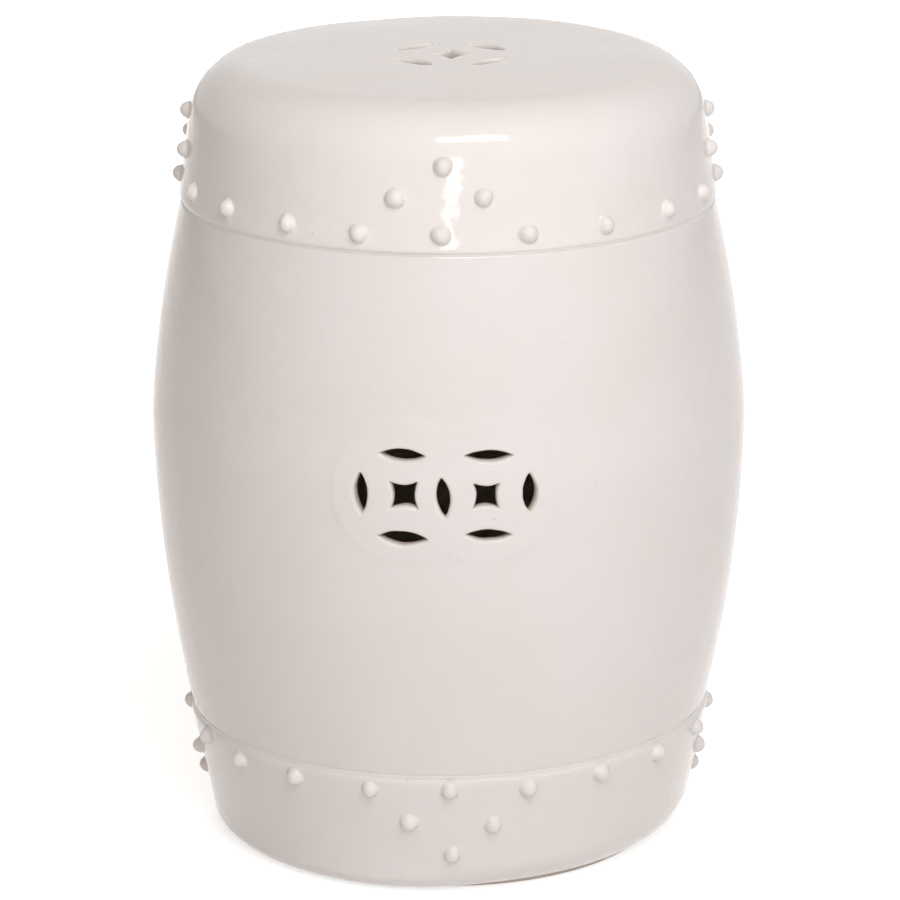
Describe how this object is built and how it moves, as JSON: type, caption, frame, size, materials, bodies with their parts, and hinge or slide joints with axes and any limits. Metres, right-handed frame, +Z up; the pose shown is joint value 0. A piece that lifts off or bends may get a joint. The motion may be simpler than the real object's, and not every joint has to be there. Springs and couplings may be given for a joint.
{
  "type": "garden stool",
  "caption": "Drum shaped white glazed ceramic garden stool with coin piercings, studded bands and an open base.",
  "frame": {"origin": "centre of the foot ring, on the floor", "axes": "+Z up along the stool's axis, -Y towards the viewer, where the front coins face"},
  "size_m": [0.33, 0.3324, 0.441],
  "materials": {
    "glaze": "glossy warm white glaze",
    "bisque": "unglazed fired clay"
  },
  "bodies": {
    "root": {"seat_cap": "glaze", "upper_barrel": "glaze", "lower_barrel": "glaze", "foot_collar": "glaze", "foot_ring": "bisque", "upper_luting_coil": "bisque", "waist_luting_coil": "bisque", "lower_luting_coil": "bisque", "front_coin_plaque": "glaze", "back_coin_plaque": "glaze", "upper_nail_row": "glaze", "upper_nail_cluster_front": "glaze", "upper_nail_cluster_right": "glaze", "upper_nail_cluster_back": "glaze", "upper_nail_cluster_left": "glaze", "lower_nail_row": "glaze", "lower_nail_cluster_front": "glaze", "lower_nail_cluster_right": "glaze", "lower_nail_cluster_back": "glaze", "lower_nail_cluster_left": "glaze"}
  },
  "joints": []
}
